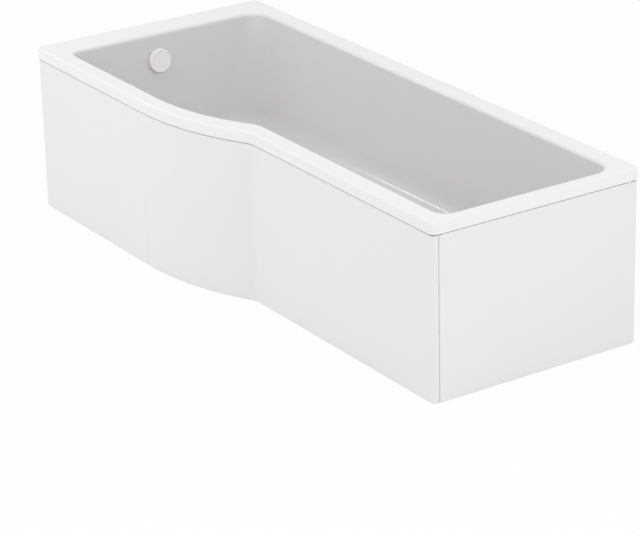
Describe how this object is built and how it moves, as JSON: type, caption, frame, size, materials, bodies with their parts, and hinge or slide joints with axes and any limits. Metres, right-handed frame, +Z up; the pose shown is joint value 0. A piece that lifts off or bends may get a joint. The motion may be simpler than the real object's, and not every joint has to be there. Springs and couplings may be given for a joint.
{
  "type": "shower bath",
  "caption": "Moulded shower bath, wider and bowed at the shower end, with front and end panels, leg set, turn knob overflow, rising plug waste and trap.",
  "frame": {"origin": "middle of the footprint on the room's floor", "axes": "+X along the bath from the shower end to the backrest end, +Y from the panelled front to the wall, +Z up"},
  "size_m": [1.8, 0.75, 0.484],
  "materials": {
    "acrylic": "polished white acrylic",
    "backing": "rough glass fibre laminate",
    "board": "pressed chipboard",
    "timber": "sawn softwood",
    "front_sheet": "polished white acrylic",
    "end_sheet": "polished white acrylic",
    "spring_steel": "bright spring steel",
    "screw_steel": "zinc plated",
    "channel_steel": "galvanised",
    "nut_steel": "zinc plated",
    "rod_steel": "zinc plated thread",
    "foot_steel": "zinc plated",
    "white_fitting": "polished white",
    "white_ring": "white",
    "dark_fitting": "dark moulded plastic",
    "hose_plastic": "ribbed dark grey hose",
    "nut_plastic": "dark moulded plastic",
    "trap_plastic": "grey moulded plastic",
    "cap_plastic": "grey moulded plastic",
    "rubber": "black rubber",
    "foam": "white sealing foam",
    "inner_steel": "zinc plated",
    "inner_plastic": "natural plastic",
    "cable_sheath": "light grey sheath"
  },
  "bodies": {
    "bath": {"bath_shell": "acrylic", "glass_fibre_backing": "backing", "base_board": "board", "rim_batten_wall": "timber", "rim_batten_narrow_front": "timber", "rim_batten_wide_front": "timber", "rim_batten_shower_end": "timber", "rim_batten_backrest_end": "timber", "front_panel": "front_sheet", "end_panel": "end_sheet", "panel_clips": "spring_steel", "panel_clip_screws": "screw_steel", "channel_screws": "screw_steel", "leg_channel_wide": "channel_steel", "leg_channel_narrow": "channel_steel", "upper_lock_nuts": "nut_steel", "lower_lock_nuts": "nut_steel", "overflow_face": "white_ring", "waste_flange": "white_ring", "overflow_housing": "dark_fitting", "waste_body": "dark_fitting", "overflow_hose": "hose_plastic", "upper_hose_nut": "nut_plastic", "lower_hose_nut": "nut_plastic", "trap_union_nut": "nut_plastic", "trap_collar_nut": "nut_plastic", "trap_body": "trap_plastic", "trap_cleaning_cap": "cap_plastic", "overflow_gasket": "rubber", "waste_seal": "rubber", "trap_washer": "rubber", "trap_cap_seal": "rubber", "trap_riser_seal": "rubber", "flange_gasket": "foam", "rocker_pin": "inner_steel", "pull_cable": "cable_sheath"},
    "knob": {"overflow_knob": "white_fitting", "knob_spindle": "inner_steel", "knob_grub_screw": "inner_steel"},
    "plug": {"waste_plug": "white_fitting", "plug_seal": "rubber", "plug_stem": "inner_plastic"},
    "rocker": {"lift_rocker": "inner_plastic"},
    "outlet": {"trap_outlet_elbow": "trap_plastic", "outlet_nut": "cap_plastic", "outlet_seal": "rubber"},
    "leg_1": {"leg_rod_1": "rod_steel", "leg_foot_1": "foot_steel"},
    "leg_2": {"leg_rod_2": "rod_steel", "leg_foot_2": "foot_steel"},
    "leg_3": {"leg_rod_3": "rod_steel", "leg_foot_3": "foot_steel"},
    "leg_4": {"leg_rod_4": "rod_steel", "leg_foot_4": "foot_steel"}
  },
  "joints": [
    {"name": "knob_turn", "type": "hinge", "parent": "bath", "child": "knob", "pos_m": [-0.78817, -0.036, 0.405], "axis": [-0.9976, 0, -0.0698], "range_deg": [0, 90]},
    {"name": "plug_lift", "type": "slide", "parent": "bath", "child": "plug", "axis": [0, 0, 1], "range_m": [0, 0.0081]},
    {"name": "rocker_swing", "type": "hinge", "parent": "bath", "child": "rocker", "pos_m": [-0.578, -0.036, 0.0918], "axis": [0, -1, 0], "range_deg": [0, 26.1]},
    {"name": "outlet_swivel", "type": "hinge", "parent": "bath", "child": "outlet", "pos_m": [-0.56, 0.028, 0.101], "axis": [0, 0, 1], "range_deg": [-90, 90]},
    {"name": "leg_1_adjust", "type": "slide", "parent": "bath", "child": "leg_1", "axis": [0, 0, -1], "range_m": [-0.008, 0.03]},
    {"name": "leg_2_adjust", "type": "slide", "parent": "bath", "child": "leg_2", "axis": [0, 0, -1], "range_m": [-0.008, 0.03]},
    {"name": "leg_3_adjust", "type": "slide", "parent": "bath", "child": "leg_3", "axis": [0, 0, -1], "range_m": [-0.008, 0.03]},
    {"name": "leg_4_adjust", "type": "slide", "parent": "bath", "child": "leg_4", "axis": [0, 0, -1], "range_m": [-0.008, 0.03]}
  ],
  "couplings": [
    {"joint": "plug_lift", "follows": "knob_turn", "m_per_rad": 0.005093},
    {"joint": "rocker_swing", "follows": "knob_turn", "ratio": 0.28889}
  ]
}
